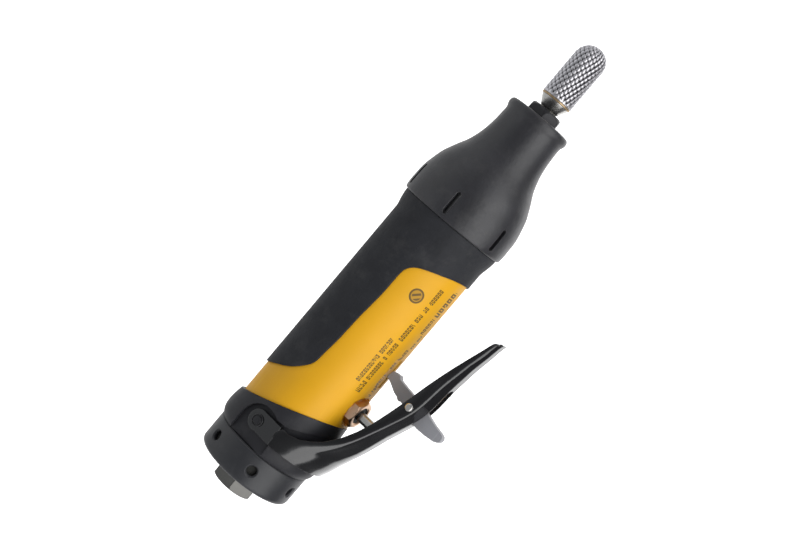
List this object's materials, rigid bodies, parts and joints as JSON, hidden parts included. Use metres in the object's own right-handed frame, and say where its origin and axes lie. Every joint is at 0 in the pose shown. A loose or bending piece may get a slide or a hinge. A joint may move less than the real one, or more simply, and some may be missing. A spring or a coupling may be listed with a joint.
{
  "type": "pneumatic die grinder",
  "caption": "Hand-held pneumatic die grinder with a lever throttle, folding lock, moulded grip sleeve, tapered nose cover and a ball-nose burr in the collet",
  "frame": {"origin": "on the spindle axis at the mouth of the air inlet", "axes": "+X along the spindle towards the burr, +Z towards the throttle lever, +Y completes the right-handed frame"},
  "size_m": [0.2099, 0.0446, 0.0736],
  "materials": {
    "yellow_paint": "satin",
    "grip_rubber": "fine matte texture",
    "nose_black": "satin",
    "backhead_black": "satin",
    "cap_dark": "dark anodised satin",
    "lever_black": "gloss black",
    "lock_grey": "cast satin",
    "steel_bright": "ground",
    "steel_dark": "black oxide",
    "brass": "turned",
    "alu_inner": "machined",
    "bearing_steel": "polished",
    "spring_steel": "drawn wire",
    "carbide": "ground carbide",
    "braze": "braze fillet",
    "nitrile": "moulded",
    "felt": "sintered felt",
    "vane_fibre": "pressed fibre",
    "cage_nylon": "moulded",
    "wire_mesh": "perforated"
  },
  "bodies": {
    "housing": {"inlet_bushing": "steel_dark", "inlet_screen": "wire_mesh", "inlet_o_ring": "nitrile", "exhaust_cap": "cap_dark", "muffler_ring": "felt", "backhead": "backhead_black", "lever_pivot_pins": "steel_dark", "grip_sleeve": "grip_rubber", "motor_housing": "yellow_paint", "housing_o_ring": "nitrile", "valve_bushing": "brass", "valve_body_seal": "nitrile", "valve_stem_seal": "nitrile", "valve_spring": "spring_steel", "rear_end_plate": "alu_inner", "front_end_plate": "alu_inner", "motor_cylinder": "steel_bright", "cylinder_dowels": "steel_bright", "rear_bearing_outer_race": "bearing_steel", "front_bearing_outer_race": "bearing_steel", "nose_bearing_outer_race": "bearing_steel", "nose_housing": "alu_inner", "wave_washer": "spring_steel", "front_dust_seal": "nitrile", "nose_cover": "nose_black"},
    "spindle": {"rotor_spindle": "steel_bright", "rotor_vanes": "vane_fibre", "spindle_circlip": "spring_steel", "front_spacer": "steel_bright", "rear_bearing_inner_race": "bearing_steel", "front_bearing_inner_race": "bearing_steel", "nose_bearing_inner_race": "bearing_steel", "collet": "steel_bright", "collet_nut": "steel_dark", "burr_shank": "steel_bright", "burr_braze_ring": "braze", "burr_head": "carbide"},
    "rear_cage": {"rear_bearing_cage": "cage_nylon", "rear_bearing_balls": "bearing_steel"},
    "front_cage": {"front_bearing_cage": "cage_nylon", "front_bearing_balls": "bearing_steel"},
    "nose_cage": {"nose_bearing_cage": "cage_nylon", "nose_bearing_balls": "bearing_steel"},
    "lever": {"throttle_lever": "lever_black", "lock_rivet": "steel_bright", "lock_spring": "spring_steel"},
    "lock": {"lock_lever": "lock_grey"},
    "valve": {"valve_stem": "steel_bright", "valve_ball": "bearing_steel"}
  },
  "joints": [
    {"name": "spindle_spin", "type": "hinge", "parent": "housing", "child": "spindle", "pos_m": [0.09, 0, 0], "axis": [1, 0, 0], "continuous": true},
    {"name": "rear_cage_spin", "type": "hinge", "parent": "housing", "child": "rear_cage", "pos_m": [0.06705, 0, 0], "axis": [1, 0, 0], "continuous": true},
    {"name": "front_cage_spin", "type": "hinge", "parent": "housing", "child": "front_cage", "pos_m": [0.11295, 0, 0], "axis": [1, 0, 0], "continuous": true},
    {"name": "nose_cage_spin", "type": "hinge", "parent": "housing", "child": "nose_cage", "pos_m": [0.1675, 0, 0], "axis": [1, 0, 0], "continuous": true},
    {"name": "lever_press", "type": "hinge", "parent": "housing", "child": "lever", "pos_m": [0.0292, 0, 0], "axis": [0, 1, 0], "range_deg": [0, 4.2], "stiffness_Nm_per_rad": 2, "springref_deg": -2.86},
    {"name": "lock_swing", "type": "hinge", "parent": "lever", "child": "lock", "pos_m": [0.0688, 0, 0.0366], "axis": [0, 1, 0], "range_deg": [0, 60.5]},
    {"name": "valve_slide", "type": "slide", "parent": "housing", "child": "valve", "axis": [0, 0, -1], "range_m": [0, 0.0025], "deforming": ["valve_spring"]}
  ],
  "couplings": [
    {"joint": "rear_cage_spin", "follows": "spindle_spin", "ratio": 0.39167},
    {"joint": "front_cage_spin", "follows": "spindle_spin", "ratio": 0.38125},
    {"joint": "nose_cage_spin", "follows": "spindle_spin", "ratio": 0.4},
    {"joint": "lock_swing", "follows": "lever_press", "ratio": 14.286},
    {"joint": "valve_slide", "follows": "lever_press", "m_per_rad": 0.0335}
  ]
}
